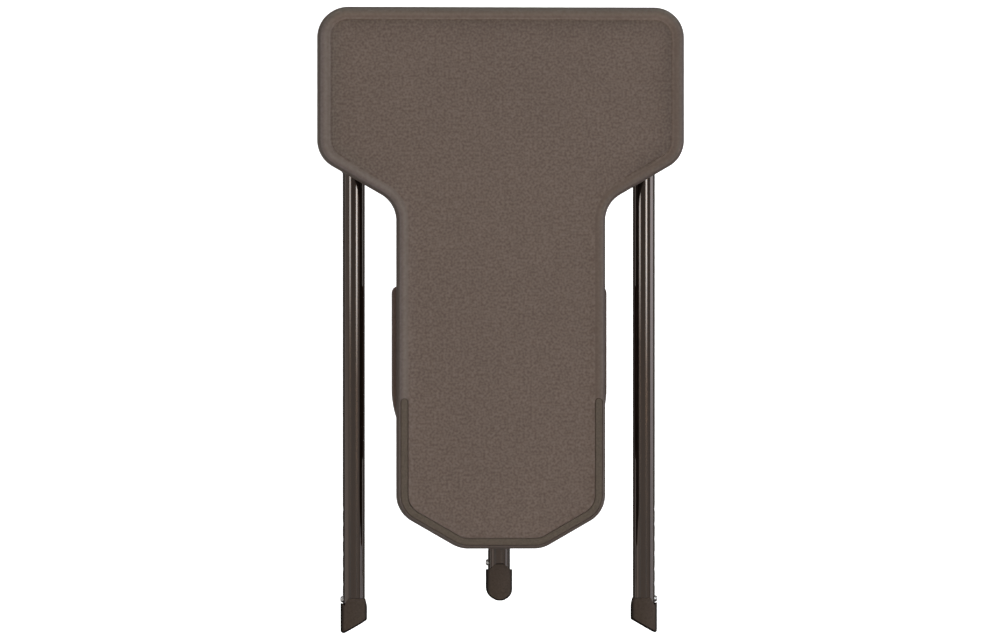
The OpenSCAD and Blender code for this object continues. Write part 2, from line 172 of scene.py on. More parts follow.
def grained_plastic(name, base, speckle=0.12, size=430, rough=(0.5, 0.62), bump=0.25, wear=0.25, spec=0.3, rim=None):
    """Moulded plastic with a fine spark-eroded grain, cloudy colour and rubbed edges; with rim given, painted light
    and shade round the outline.
    """
    m = Mat(name)
    fine = m.noise(size, 0.6, 0.5)
    flecks = m.noise(size * 0.55, 0, 0.5)
    cloud = m.noise(9, 3, 0.5)
    k = (speckle, speckle * 1.18, speckle * 1.26)
    lo = tuple(v * (1 - a) for v, a in zip(base, k)) + (1.0,)
    hi = tuple(v * (1 + a) for v, a in zip(base, k)) + (1.0,)
    c = m.mix(m.span(fine, 0.0, 1.0, 0.28, 0.72), lo, hi)
    c = m.times(c, m.span(flecks, 1 - speckle * 0.3, 1 + speckle * 0.3, 0.3, 0.7))
    c = m.times(c, m.span(cloud, 0.985, 1.015, 0.38, 0.62))
    if rim:
        edge = m.span(m.node("ShaderNodeAttribute", attribute_name="edge_mm").outputs["Fac"], 0.0, 1.0, 0.0, 40.0)
        way_x = m.node("ShaderNodeAttribute", attribute_name="way_x").outputs["Fac"]
        way_y = m.node("ShaderNodeAttribute", attribute_name="way_y").outputs["Fac"]
        c = m.mix(m.ramp(edge, [(0.26, (0.6, 0.6, 0.6)), (0.34, (0, 0, 0))]), c, base)
        # painted light and shade: the left and right tables are blended by which way the outline faces in x, then the
        # top table by y, and the colour is multiplied by the result
        painted_rim_light = m.mix(m.span(way_x, 0.0, 1.0, -0.35, 0.35), m.ramp(edge, rim[0]), m.ramp(edge, rim[1]))
        painted_rim_light = m.mix(m.span(way_y, 0.0, 1.0, 0.35, 0.85), painted_rim_light, m.ramp(edge, rim[2]))
        c = m.mix(1.0, c, painted_rim_light, "MULTIPLY")
    c = m.mix(m.pointy(0.53, 0.62), c, scaled(base, 1 + wear * 1.6))
    m.colour(c)
    m.rough(m.span(m.noise(60, 3, 0.6), rough[0], rough[1], 0.3, 0.7))
    n = m.bump(fine, bump, 0.00012)
    m.normal(m.bump(m.noise(38, 2, 0.5), 0.06, 0.0006, n))
    m.set(**{"Specular IOR Level": spec})
    return m.m


def rubber(name, base, rough=(0.62, 0.78), bump=0.3, spec=0.25, wear=1.25, painted_flank_shade=False):
    m = Mat(name)
    c = m.ramp(m.noise(420, 3, 0.6), [(0.3, scaled(base, 0.84)), (0.7, scaled(base, 1.16))])
    c = m.mix(m.span(m.noise(30, 3, 0.6), 0.0, 0.25, 0.45, 0.75), c, scaled(base, 1.25))
    # painted shade: where face_up is low (the flanks, the sole's edge and the tab's top edge) the rubber turns nearly
    # black
    if painted_flank_shade:
        att = m.node("ShaderNodeAttribute", attribute_name="face_up")
        c = m.mix(m.ramp(att.outputs["Fac"], [(0.38, (1, 1, 1)), (0.70, (0, 0, 0))]), c, scaled(base, 0.10))
    c = m.mix(m.pointy(0.54, 0.64), c, scaled(base, wear))
    m.colour(c)
    m.rough(m.span(m.noise(90, 2, 0.5), rough[0], rough[1], 0.3, 0.7))
    m.normal(m.bump(m.noise(900, 2, 0.5), bump, 0.0002))
    m.set(**{"Specular IOR Level": spec})
    return m.m


def lacquered_tube(name, base):
    """Drawn aluminium tube under a glossy tinted finish, with faint draw lines along it."""
    m = Mat(name)
    lines = m.noise(1.0, 3, 0.6, stretch=(900, 6, 900))
    cloud = m.noise(14, 2, 0.5)
    c = m.ramp(lines, [(0.35, scaled(base, 0.9)), (0.65, scaled(base, 1.1))])
    c = m.mix(m.span(cloud, 0.0, 0.25, 0.35, 0.7), c, scaled(base, 1.15))
    m.colour(c)
    m.rough(m.span(m.noise(25, 3, 0.6, stretch=(4, 1, 4)), 0.16, 0.22, 0.3, 0.7))
    m.normal(m.bump(lines, 0.02, 0.00005))
    m.set(**{"Metallic": 1.0, "Coat Weight": 1.0, "Coat Roughness": 0.05, "Coat IOR": 1.5, "Specular Tint": (0.5, 0.42, 0.38, 1.0)})
    return m.m


def brushed(name, base, rough=(0.28, 0.42), stretch=(40, 900, 900), metal=1.0, bump=0.05):
    m = Mat(name)
    lines = m.noise(1.0, 3, 0.6, stretch=stretch)
    c = m.ramp(lines, [(0.3, scaled(base, 0.86)), (0.7, scaled(base, 1.1))])
    c = m.mix(m.span(m.noise(70, 3, 0.6), 0.0, 0.3, 0.45, 0.75), c, scaled(base, 0.75))
    c = m.mix(m.pointy(0.53, 0.62), c, scaled(base, 1.3))
    m.colour(c)
    m.rough(m.span(m.noise(120, 3, 0.6), rough[0], rough[1], 0.3, 0.7))
    m.normal(m.bump(lines, bump, 0.0001))
    m.set(Metallic=metal)
    return m.m


SEAT = lin(104.3, 88.9, 79.8)
# painted light and shade on the seat by distance from its outline (40 mm is 1.0), one table each for the left, right
# and top sides: painted dark outer edge, painted highlight on the crest, painted shade at the foot of the step
def stops(rows):
    return [(d / 40, (r, g, b)) for d, r, g, b in rows]


RIM_PAINTED_LIGHT_LEFT = stops([
    (0.0, 0.50, 0.50, 0.50), (1.7, 0.59, 0.65, 0.68), (2.7, 0.92, 0.98, 1.12), (3.7, 0.93, 1.02, 1.13),
    (4.7, 1.02, 1.07, 1.17), (5.7, 1.09, 1.19, 1.30), (6.7, 1.17, 1.28, 1.32), (7.7, 1.15, 1.29, 1.35),
    (8.7, 1.10, 1.18, 1.25), (9.7, 1.03, 1.11, 1.15), (10.7, 1.06, 1.12, 1.17), (11.7, 1.01, 1.08, 1.12),
    (12.7, 0.91, 0.91, 0.91), (13.7, 0.93, 0.94, 0.95), (14.7, 0.92, 0.96, 0.96), (18.0, 0.93, 0.96, 0.955),
    (24.8, 0.95, 0.95, 0.95), (40.0, 1.0, 1.0, 1.0)])
RIM_PAINTED_LIGHT_RIGHT = stops([
    (0.0, 0.45, 0.45, 0.45), (1.3, 0.51, 0.52, 0.53), (2.3, 0.65, 0.66, 0.68), (3.3, 0.92, 0.96, 0.99),
    (4.3, 0.88, 0.93, 0.95), (5.3, 0.87, 0.90, 0.90), (6.8, 0.92, 0.91, 0.90), (8.3, 0.855, 0.84, 0.80),
    (9.3, 0.82, 0.80, 0.77), (10.3, 0.87, 0.86, 0.85), (11.3, 1.04, 1.03, 1.02), (12.3, 1.05, 1.05, 1.04),
    (13.3, 0.90, 0.90, 0.90), (15.3, 0.82, 0.82, 0.82), (18.0, 0.86, 0.86, 0.855), (24.8, 0.94, 0.935, 0.93),
    (40.0, 1.0, 1.0, 1.0)])
RIM_PAINTED_LIGHT_TOP = stops([
    (0.0, 0.62, 0.62, 0.62), (0.9, 0.70, 0.72, 0.72), (1.9, 0.90, 1.09, 1.13), (2.9, 0.91, 1.06, 1.06),
    (3.9, 0.96, 1.05, 1.09), (4.9, 0.945, 0.99, 1.0), (5.9, 0.97, 1.04, 1.03), (6.9, 1.08, 1.10, 1.06),
    (7.9, 1.11, 1.13, 1.09), (8.9, 1.01, 0.99, 0.99), (9.9, 0.955, 0.95, 0.94), (10.9, 1.06, 1.04, 1.03),
    (11.9, 1.25, 1.27, 1.27), (12.9, 0.98, 0.97, 0.95), (13.9, 0.81, 0.81, 0.80), (14.9, 0.81, 0.80, 0.79),
    (15.9, 0.84, 0.835, 0.83), (18.0, 0.88, 0.875, 0.87), (24.8, 0.95, 0.945, 0.94), (40.0, 1.0, 1.0, 1.0)])
mats = {
    "seat_plastic": grained_plastic("seat_plastic", SEAT, speckle=0.18, spec=0.2, rim=(RIM_PAINTED_LIGHT_LEFT, RIM_PAINTED_LIGHT_RIGHT, RIM_PAINTED_LIGHT_TOP)),
    "pan_plastic": grained_plastic("pan_plastic", lin(84, 73, 66), size=420, rough=(0.6, 0.72)),
    "grip_plastic": grained_plastic("grip_plastic", lin(84, 66, 57), size=500, rough=(0.42, 0.54)),
    "inlay_rubber": rubber("inlay_rubber", lin(90.5, 79.6, 69.6), rough=(0.66, 0.8), spec=0.15),
    "bronze_tube": lacquered_tube("bronze_tube", lin(48, 34, 24)),
    "raw_aluminium": brushed("raw_aluminium", (0.60, 0.58, 0.55, 1), rough=(0.24, 0.34), stretch=(900, 10, 900)),
    "bracket_steel": brushed("bracket_steel", (0.24, 0.22, 0.20, 1), rough=(0.38, 0.5)),
    "zinc_steel": brushed("zinc_steel", (0.62, 0.62, 0.63, 1), rough=(0.25, 0.4), stretch=(300, 300, 300)),
    "button_steel": brushed("button_steel", (0.42, 0.41, 0.40, 1), rough=(0.2, 0.3), stretch=(300, 300, 300)),
    "black_nylon": grained_plastic("black_nylon", (0.020, 0.018, 0.016, 1), size=700, rough=(0.4, 0.5), wear=0.8),
    "white_nylon": grained_plastic("white_nylon", (0.72, 0.71, 0.67, 1), size=700, rough=(0.45, 0.55), wear=0.05),
    "foot_rubber": rubber("foot_rubber", lin(71, 61, 54), spec=0.02, wear=1.0, painted_flank_shade=True),
    "black_rubber": rubber("black_rubber", (0.016, 0.015, 0.014, 1)),
}
slot_of = {s["node"]: s["material_slot"] for s in frame["record"]["subparts"]}
for name, ob in nodes.items():
    for i in range(max(1, len(ob.material_slots))):
        if ob.material_slots:
            ob.material_slots[i].material = mats[slot_of[name]]
        else:
            ob.data.materials.append(mats[slot_of[name]])

body_of = {n: b for b, ns in frame["record"]["behaviour"]["bodies"].items() for n in ns}


# ------------------------------------------------------------------ helpers
def piece(name, mesh, node_names, mat=None, between=None):
    """A new object that stands for CAD nodes and rides on their body, or, with between, stays where it is with its
    transform baked in.
    """
    ob = bpy.data.objects.new(name, mesh)
    bpy.context.scene.collection.objects.link(ob)
    first = node_names[0]
    mesh.materials.clear()
    mesh.materials.append(mat or mats[slot_of[first]])
    if between:
        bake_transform(ob)
    else:
        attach(ob, body_of[first])
    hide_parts(*node_names)
    return ob


def mesh_from(name, verts, faces, smooth=True):
    me = bpy.data.meshes.new(name)
    me.from_pydata(verts, [], faces)
    me.validate()
    if smooth:
        me.polygons.foreach_set("use_smooth", [True] * len(me.polygons))
    me.update()
    return me


def sharpen(me, angle):
    """Marks edges sharper than angle (degrees), so that shading breaks there."""
    bm = bmesh.new()
    bm.from_mesh(me)
    for e in bm.edges:
        e.smooth = not (len(e.link_faces) == 2 and e.calc_face_angle(0) > math.radians(angle))
    for f in bm.faces:
        f.smooth = True
    bm.to_mesh(me)
    bm.free()
    me.update()


def applied(ob_name, me, mods):
    """The mesh with modifiers applied."""
    tmp = bpy.data.objects.new(ob_name + "_tmp", me)
    bpy.context.scene.collection.objects.link(tmp)
    for kind, props in mods:
        m = tmp.modifiers.new(kind, kind)
        for k, v in props.items():
            setattr(m, k, v)
    deps = bpy.context.evaluated_depsgraph_get()
    deps.update()
    out = bpy.data.meshes.new_from_object(tmp.evaluated_get(deps))
    bpy.data.objects.remove(tmp)
    return out


def unit(v):
    n = math.hypot(*v)
    return (v[0] / n, v[1] / n)


# ------------------------------------------------------------------ the seat's outline
CORNERS = [(183, 312), (-183, 312), (-183, 162.1), (-104, 162.1 - 79 * math.tan(math.radians(30))), (-104, -191.8)]
_half = 104 - 36.2 / math.tan(math.radians(30))
CORNERS += [(-_half, -228), (_half, -228), (104, -191.8), (104, 162.1 - 79 * math.tan(math.radians(30))), (183, 162.1)]
R_CORNER = 30.0
END_Y = -82.0
SIDE_YS = (
    [92 - 8 * i for i in range(20)]
    + [END_Y + 6 - 0.4 * i for i in range(1, 25)]
    + [-86 - 8 * i for i in range(0, 11)]
)


def outline(d):
    """The seat's outline moved inwards by d mm, always with the same number of points."""
    n = len(CORNERS)
    moved = []
    for i in range(n):
        p, q, r = CORNERS[i - 1], CORNERS[i], CORNERS[(i + 1) % n]
        u, v = unit((q[0] - p[0], q[1] - p[1])), unit((r[0] - q[0], r[1] - q[1]))
        a, b = (-u[1], u[0]), (-v[1], v[0])
        k = d / (1 + a[0] * b[0] + a[1] * b[1])
        moved.append((q[0] + (a[0] + b[0]) * k, q[1] + (a[1] + b[1]) * k))
    arcs = []
    for i in range(n):
        p, q, r = moved[i - 1], moved[i], moved[(i + 1) % n]
        u, v = unit((q[0] - p[0], q[1] - p[1])), unit((r[0] - q[0], r[1] - q[1]))
        t = math.asin(u[0] * v[1] - u[1] * v[0])
        s = 1 if t > 0 else -1
        rad = max(0.5, R_CORNER - d) if s > 0 else R_CORNER + d
        back = rad * math.tan(abs(t) / 2)
        a = (q[0] - u[0] * back, q[1] - u[1] * back)
        c = (a[0] - u[1] * rad * s, a[1] + u[0] * rad * s)
        m = 10 if abs(t) < 0.6 else 16
        pts = []
        for k in range(m + 1):
            w = t * k / m
            x, y = a[0] - c[0], a[1] - c[1]
            pts.append((c[0] + x * math.cos(w) - y * math.sin(w), c[1] + x * math.sin(w) + y * math.cos(w)))
        arcs.append(pts)
    out = []
    for i in range(n):
        out += arcs[i]
        a, b = arcs[i][-1], arcs[(i + 1) % n][0]
        if i in (3, 7):  # the tongue's long sides
            ys = SIDE_YS if i == 3 else SIDE_YS[::-1]
            out += [(a[0], y) for y in ys]
        else:
            m = STEPS[i]
            out += [(a[0] + (b[0] - a[0]) * k / m, a[1] + (b[1] - a[1]) * k / m) for k in range(1, m)]
    return out


STEPS = [36, 14, 8, 0, 6, 8, 6, 0, 8, 14]
MID = 6.9  # middle of the strip's track, from the edge
HALF = 3.9


def crest(d):
    """Height of the rim's surface at d mm from the outline, without the track."""
    if d < 6:
        return 44 + math.sqrt(max(0.0, 36 - (6 - d) ** 2))
    if d < 9.5:
        return 50.0
    if d < 12.2:
        t = (d - 9.5) / 2.7
        return 50.0 - 0.45 * t * t
    return 49.55


def smooth01(t):
    t = min(1.0, max(0.0, t))
    return t * t * (3 - 2 * t)


def track(d, y):
    """How deep the track is here."""
    if y > END_Y + 5:
        return 0.0
    over = y - END_Y
    dist = math.hypot(d - MID, max(0.0, over))
    return 1.7 * smooth01((HALF + 0.12 - dist) / 0.26)


def fall(d):
    """Height from the rim's crest down to the panel where the step is soft, at d mm from the outline."""
    return 48.8 + (crest(10.9) - 48.8) * (1 - smooth01((d - 10.9) / 7.5))


def seat_mesh():
    rings = []
    side = [(3.0, 29.0), (3.0, 26.35), (2.7, 26.05), (1.5, 26.0), (0.7, 26.2), (0.2, 26.7), (0.0, 27.4), (0.0, 32.0), (0.0, 38.0), (0.0, 43.0)]
    for d, z in side:
        rings.append((d, z, False))
    for d in (0.0, 0.12, 0.46, 1.0, 1.7, 2.5, 2.88, 2.96, 3.04, 3.12, 3.2, 3.5, 4.2, 5.2, 6.2, 7.4, 8.6, 9.6, 10.3, 10.6, 10.68, 10.76, 10.84, 10.92, 11.2, 11.8, 12.1):
        rings.append((d, None, True))
    for d, z in ((12.3, 49.42), (12.55, 49.05), (12.75, 48.72), (12.95, 48.55), (13.3, 48.5), (13.65, 48.58), (13.9, 48.76), (14.1, 48.8), (15.2, 48.8), (18.0, 48.8), (24.0, 48.8), (31.0, 48.8), (40.0, 48.8)):
        rings.append((d, z, False))
    verts, faces, edge = [], [], []
    way = []
    for p, q in zip(outline(0.0), outline(1.0)):
        way.append(unit((p[0] - q[0], p[1] - q[1])))
    n = None
    for d, z, on_rim in rings:
        pts = outline(d)
        n = len(pts)
        for x, y in pts:
            zz = crest(d) - track(d, y) if on_rim else z
            # towards the tongue the step turns soft, and the painted rim light and shade fade out, so the panel keeps
            # its colour right up to the rim
            soft = smooth01((165 - y) / 45) if d > 10.9 else 0.0
            zz += (fall(d) - zz) * soft
            verts.append((x * MM, y * MM, zz * MM))
            edge.append(d + (40 - d) * soft)
    for r in range(len(rings) - 1):
        for k in range(n):
            a, b = r * n + k, r * n + (k + 1) % n
            faces.append((a, b, b + n, a + n))
    last = (len(rings) - 1) * n
    faces.append(tuple(range(last, last + n)))
    # the inside of the shell
    inner = [(3.0, 45.0), (6.0, 45.2)]
    start = len(verts)
    for d, z in inner:
        for x, y in outline(d):
            verts.append((x * MM, y * MM, z * MM))
            edge.append(40.0)
    for k in range(n):
        a, b = k, (k + 1) % n
        faces.append((b, a, start + a, start + b))
        faces.append((start + b, start + a, start + n + a, start + n + b))
    faces.append(tuple(reversed(range(start + n, start + 2 * n))))
    out = mesh_from("seat_shell_skin", verts, faces)
    # edge_mm and the way_x, way_y directions pick the painted rim light and shade in the seat's material
    att = out.attributes.new("edge_mm", "FLOAT", "POINT")
    att.data.foreach_set("value", edge)
    for i, axis in enumerate(("way_x", "way_y")):
        att = out.attributes.new(axis, "FLOAT", "POINT")
        att.data.foreach_set("value", [way[k % n][i] for k in range(len(verts))])
    return out


def inlay_mesh():
    """The grip strip, which fills the track with a hairline gap round it."""
    section = [(-3.25, 47.9), (-3.28, 49.0), (-3.18, 49.3), (-2.9, 49.46), (-1.6, 49.6), (0, 49.66), (1.6, 49.66), (2.9, 49.58), (3.18, 49.42), (3.28, 49.1), (3.25, 47.9)]
    cols = [outline(MID + s) for s, _ in section]
    ref = outline(MID)
    ring = [i for i, p in enumerate(ref) if p[1] <= END_Y + 3.6 and p[1] < 0]
    # the indices run down the left side, round the toe and up the right side without a break
    verts, faces = [], []
    m = len(section)
    for i in ring:
        over = max(0.0, ref[i][1] - END_Y)
        k = math.sqrt(max(0.0, 1 - (over / 3.6) ** 2))
        for j, (s, z) in enumerate(section):
            x0, y0 = ref[i]
            x1, y1 = cols[j][i]
            drop = 0.0 if over <= 0 else (1 - k) * 0.12
            verts.append(((x0 + (x1 - x0) * k) * MM, (y0 + (y1 - y0) * k) * MM, (z - (drop if z > 49 else 0)) * MM))
    rows = len(ring)
    for r in range(rows - 1):
        for j in range(m - 1):
            a = r * m + j
            faces.append((a, a + m, a + m + 1, a + 1))
        a = r * m + m - 1
        faces.append((a, a + m, r * m + m, r * m))
    faces.append(tuple(range(m)))
    faces.append(tuple(reversed(range((rows - 1) * m, rows * m))))
    me = mesh_from("tongue_inlay_strip", verts, faces)
    bm = bmesh.new()
    bm.from_mesh(me)
    bmesh.ops.recalc_face_normals(bm, faces=bm.faces)
    bm.to_mesh(me)
    bm.free()
    sharpen(me, 60)
    return me


me = seat_mesh()
sharpen(me, 75)
piece("seat_shell_skin", me, ["seat_shell"])
piece("tongue_inlay_strip", inlay_mesh(), ["tongue_inlay"])


# ------------------------------------------------------------------ lower leg tubes
def tube_frame(which):
    """Matrix from a leg's own frame (pin at the origin, leg along -Y, outer side +X) to the row frame."""
    if which == "right":
        return Matrix.Translation((0.1455, 0.18, 0.01325))
    if which == "left":
        return Matrix.Translation((-0.1455, 0.18, 0.01325)) @ Matrix.Scale(-1, 4, (1, 0, 0))
    return Matrix.Translation((0, 0.2817, 0.01325)) @ Matrix.Scale(-1, 4, (1, 0, 0))


def tube_mesh(name, which, r_out, r_in, s0, s1, holes, hole_r):
    """A round tube along -Y with holes on its outer side, each in a patch of faces that lie on the cylinder."""
    N, W = 96, 8
    half = 6.0
    verts, faces = [], []
    step = 2 * math.pi / N

    def on(r, ang, s):
        return (r * math.cos(ang), -s, r * math.sin(ang))

    def add(p):
        verts.append(tuple(c * MM for c in p))
        return len(verts) - 1

    cuts = [s0, s0 + 0.5]
    for h in sorted(holes):
        cuts += [h - half + 2 * half * i / (2 * W) for i in range(2 * W + 1)]
    cuts += [s1 - 0.5, s1]
    long = []
    for a, b in zip(cuts, cuts[1:]):
        long.append(a)
        m = int((b - a) // 30)
        long += [a + (b - a) * i / (m + 1) for i in range(1, m + 1)]
    long.append(cuts[-1])
    grid = {}
    inside = lambda s: any(h - half - 1e-6 < s < h + half + 1e-6 for h in holes)
    strictly = lambda s: any(h - half + 1e-6 < s < h + half - 1e-6 for h in holes)
    for i, s in enumerate(long):
        chamfer = 0.35 if i in (0, len(long) - 1) else 0.0
        for k in range(N):
            kk = (k + W) % N - W  # -W..N-W-1, with the outer side at 0
            if strictly(s) and -W < kk < W:
                continue
            grid[i, k] = add(on(r_out - chamfer, k * step, s))
    for i in range(len(long) - 1):
        for k in range(N):
            q = (k + 1) % N
            keys = [(i, k), (i + 1, k), (i + 1, q), (i, q)]
            if all(x in grid for x in keys):
                kk = (k + W) % N - W
                mid = (long[i] + long[i + 1]) / 2
                if strictly(mid) and -W <= kk < W:
                    continue
                faces.append(tuple(grid[x] for x in keys))
    index = {round(s, 4): i for i, s in enumerate(long)}
    for h in holes:
        border = []
        for j in range(-W, W):
            border.append((W, j))
        for j in range(W, -W, -1):
            border.append((j, W))
        for j in range(W, -W, -1):
            border.append((-W, j))
        for j in range(-W, W):
            border.append((j, -W))
        # border points as (angle step, s step) round the square
        outer = [grid[index[round(h + j * half / W, 4)], a % N] for a, j in border]
        loops = [outer]
        for f in (0.66, 0.4, 0.18, 0.05, 0.0):
            loop = []
            for a, j in border:
                u, v = a * step * r_out, j * half / W
                n = math.hypot(u, v)
                cu, cv = u / n * hole_r, v / n * hole_r
                x, y = cu + (u - cu) * f, cv + (v - cv) * f
                loop.append(add(on(r_out, x / r_out, h + y)))
            loops.append(loop)
        rim = []
        for a, j in border:
            u, v = a * step * r_out, j * half / W
            n = math.hypot(u, v)
            x, y = u / n * (hole_r - 0.25), v / n * (hole_r - 0.25)
            rim.append(add(on(r_out - 0.22, x / r_out, h + y)))
        loops.append(rim)
        wallp = []
        for a, j in border:
            u, v = a * step * r_out, j * half / W
            n = math.hypot(u, v)
            x, y = u / n * (hole_r - 0.25), v / n * (hole_r - 0.25)
            wallp.append(add(on(r_in, x / r_out, h + y)))
        loops.append(wallp)
        m = len(border)
        for l0, l1 in zip(loops, loops[1:]):
            for k in range(m):
                q = (k + 1) % m
                faces.append((l0[k], l0[q], l1[q], l1[k]))
    # bore and end faces
    ends = []
    for s, i in ((s0, 0), (s1, len(long) - 1)):
        lip = [add(on(r_in, k * step, s)) for k in range(N)]
        ends.append(lip)
        for k in range(N):
            q = (k + 1) % N
            faces.append((grid[i, k], grid[i, q], lip[q], lip[k]))
    for k in range(N):
        q = (k + 1) % N
        faces.append((ends[0][k], ends[0][q], ends[1][q], ends[1][k]))
    me = mesh_from(name, verts, faces)
    me.transform(tube_frame(which))
    bm = bmesh.new()
    bm.from_mesh(me)
    bmesh.ops.remove_doubles(bm, verts=bm.verts, dist=1e-7)
    bmesh.ops.recalc_face_normals(bm, faces=bm.faces)
    bm.to_mesh(me)
    bm.free()
    sharpen(me, 28)
    return me


SPEC = {"left": (459.0, 472.75), "right": (459.0, 472.75), "centre": (524.1, 534.0)}
for w in SIDES:
    button, end = SPEC[w]
    me = tube_mesh(f"{w}_lower_tube_skin", w, 11.1, 9.875, 25.0, end, [button - 15 * k for k in range(7)], 3.5)
    piece(f"{w}_lower_tube_skin", me, [f"{w}_lower_tube"])


# ------------------------------------------------------------------ softened copies of CAD nodes
def copied(node):
    me = nodes[node].data.copy()
    bm = bmesh.new()
    bm.from_mesh(me)
    bmesh.ops.remove_doubles(bm, verts=bm.verts, dist=2e-6)
    bmesh.ops.dissolve_limit(bm, angle_limit=math.radians(0.6), verts=bm.verts, edges=bm.edges)
    bm.to_mesh(me)
    bm.free()
    return me


def bevelled(node, width, segments=2, angle=32):
    me = copied(node)
    me = applied(node, me, [("BEVEL", dict(width=width * MM, segments=segments, limit_method="ANGLE", angle_limit=math.radians(angle), use_clamp_overlap=True, harden_normals=False))])
    sharpen(me, 40)
    piece(node + "_part", me, [node])


def moulded(node, voxel, rounds):
    """A rubber moulding: the CAD shape with every edge softened."""
    me = nodes[node].data.copy()
    me = applied(node, me, [
        ("REMESH", dict(mode="VOXEL", voxel_size=voxel * MM, use_smooth_shade=True)),
        ("SMOOTH", dict(factor=0.5, iterations=rounds)),
    ])
    return me


def sole_depth(w, p):
    """How far a point in a leg's own frame is behind its sole, in mm."""
    if w == "centre":
        return math.cos(math.radians(40)) * (p[1] + 550.5) + math.sin(math.radians(40)) * p[2]
    return math.sin(math.radians(30)) * p[0] + math.cos(math.radians(30)) * (p[1] + 486.95)


for w in SIDES:
    me = moulded(f"{w}_foot", 0.36, 7)
    own = tube_frame(w).inverted()
    shade = []
    for v in me.vertices:
        p = own @ v.co * 1000
        if w == "centre":  # smoothing rounds the tip off, so it is drawn out again
            v.co.y -= (0.0005 + 0.0009 * max(0.0, 1 - (p.x / 6) ** 2)) * smooth01((-547 - p.y) / 12)
        # painted shade: dark near the sole's edge, and a painted shadow line along the top edge of the centre foot's
        # tab
        k = smooth01((sole_depth(w, p) - 0.5) / 1.9)
        if w == "centre" and abs(p.x) < 4.5:
            k *= 1 - smooth01((p.y + 526.2) / 0.8)
        shade.append(k)
    me.polygons.foreach_set("use_smooth", [True] * len(me.polygons))
    me.update()
    # face_up is how much a point faces up, times that mask; the rubber paints the flanks and masked places dark with
    # it, as painted shade
    up_facing = me.attributes.new("face_up", "FLOAT", "POINT")
    up_facing.data.foreach_set("value", [abs(v.normal.z) * k for v, k in zip(me.vertices, shade)])
    piece(f"{w}_foot_rubber", me, [f"{w}_foot"])

for n in ("left_grip", "right_grip"):
    bevelled(n, 0.8, 3)
for n in ("left_hinge_bracket", "right_hinge_bracket", "centre_hinge_bracket"):
    bevelled(n, 0.35, 2)
for w in SIDES:
    bevelled(f"{w}_knuckle", 0.5, 2)
bevelled("leg_rest_pads", 0.3, 2)
bevelled("seat_underpan", 0.3, 1)

for n in ("pan_screws", "grip_screws", "bracket_screws"):
    bevelled(n, 0.15, 1, 50)
for n in ("hinge_washers", "lock_housing", "lock_plunger", "stiffener_plate"):
    bevelled(n, 0.15, 2, 40)
for w in SIDES:
    bevelled(f"{w}_hinge_pin", 0.2, 2, 30)
    bevelled(f"{w}_knuckle_pins", 0.25, 2, 40)
    bevelled(f"{w}_glide_collar", 0.15, 2, 40)
    bevelled(f"{w}_snap_button", 0.2, 2, 40)
    bevelled(f"{w}_upper_tube", 0.2, 2, 40)

# ------------------------------------------------------------------ springs
for w in SIDES:
    me = copied(f"{w}_button_spring")
    sharpen(me, 40)
    button = SPEC[w][0]
    fixed = tube_frame(w) @ Vector((-0.0022, -button / 1000, 0))
    pressed = tube_frame(w) @ Vector((0.0036, -button / 1000, 0))
    piece(f"{w}_button_leaf_spring", me, [f"{w}_button_spring"], between=(f"{w}_upper", f"{w}_button", fixed, pressed))

me = copied("lock_spring")
sharpen(me, 40)
coil = piece("lock_coil_spring", me, ["lock_spring"])
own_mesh(coil)


# ------------------------------------------------------------------ studio
sc = bpy.context.scene
sc.view_settings.view_transform = "Standard"
sc.view_settings.look = "None"


def emissive(name, colour, levels, y_lo, y_hi):
    """Emission that changes smoothly from levels[0] at y_lo to levels[1] at y_hi."""
    m = bpy.data.materials.new(name)
    m.use_nodes = True
    t = m.node_tree
    t.nodes.clear()
    out = t.nodes.new("ShaderNodeOutputMaterial")
    em = t.nodes.new("ShaderNodeEmission")
    em.inputs["Color"].default_value = (*colour, 1)
    t.links.new(em.outputs[0], out.inputs[0])
    geo = t.nodes.new("ShaderNodeNewGeometry")
    sep = t.nodes.new("ShaderNodeSeparateXYZ")
    t.links.new(geo.outputs["Position"], sep.inputs[0])
    r = t.nodes.new("ShaderNodeMapRange")
    r.interpolation_type = "SMOOTHSTEP"
    r.inputs["From Min"].default_value = y_lo
    r.inputs["From Max"].default_value = y_hi
    r.inputs["To Min"].default_value = levels[0]
    r.inputs["To Max"].default_value = levels[1]
    t.links.new(sep.outputs["Y"], r.inputs["Value"])
    t.links.new(r.outputs["Result"], em.inputs["Strength"])
    return m


def card(name, a0, a1, y0, y1, mat, dist=3.0):
    """A light card bent round the Y axis from angle a0 to a1 (degrees from straight up), from y0 to y1."""
    n = max(2, int(abs(a1 - a0) / 5))
    v, f = [], []
    for i in range(n + 1):
        a = math.radians(a0 + (a1 - a0) * i / n)
        for y in (y0, y1):
            v.append((math.sin(a) * dist, y, math.cos(a) * dist))
    for i in range(n):
        f.append((2 * i, 2 * i + 1, 2 * i + 3, 2 * i + 2))
    me = mesh_from(name, v, f, smooth=False)
    me.materials.append(mat)
    ob = bpy.data.objects.new(name, me)
    sc.collection.objects.link(ob)
    ob.visible_camera = False
    ob.visible_shadow = False
    return ob


COOL = (0.93, 1.0, 1.03)
card("card_left", -52, -36.6, -0.5, 0.75, emissive("card_left", COOL, (0.8, 7.6), -0.05, 0.14))
card("card_right", 17, 32.2, -0.5, 0.75, emissive("card_right", COOL, (0.8, 11.0), -0.11, 0.12))
card("card_low", -58, 58, -1.1, 0.45, emissive("card_low", (1.0, 0.95, 0.90), (0.78, 0.33), -0.25, 0.30), dist=3.2)
card("card_left_side", -104, -60, -1.4, 1.4, emissive("card_left_side", (1.0, 0.96, 0.92), (1.25, 0.7), -0.30, 0.10), dist=3.1)
card("card_right_side", 66, 98, -1.4, 1.4, emissive("card_right_side", (0.95, 1.0, 1.10), (1.7, 3.6), -0.30, 0.15), dist=3.1)

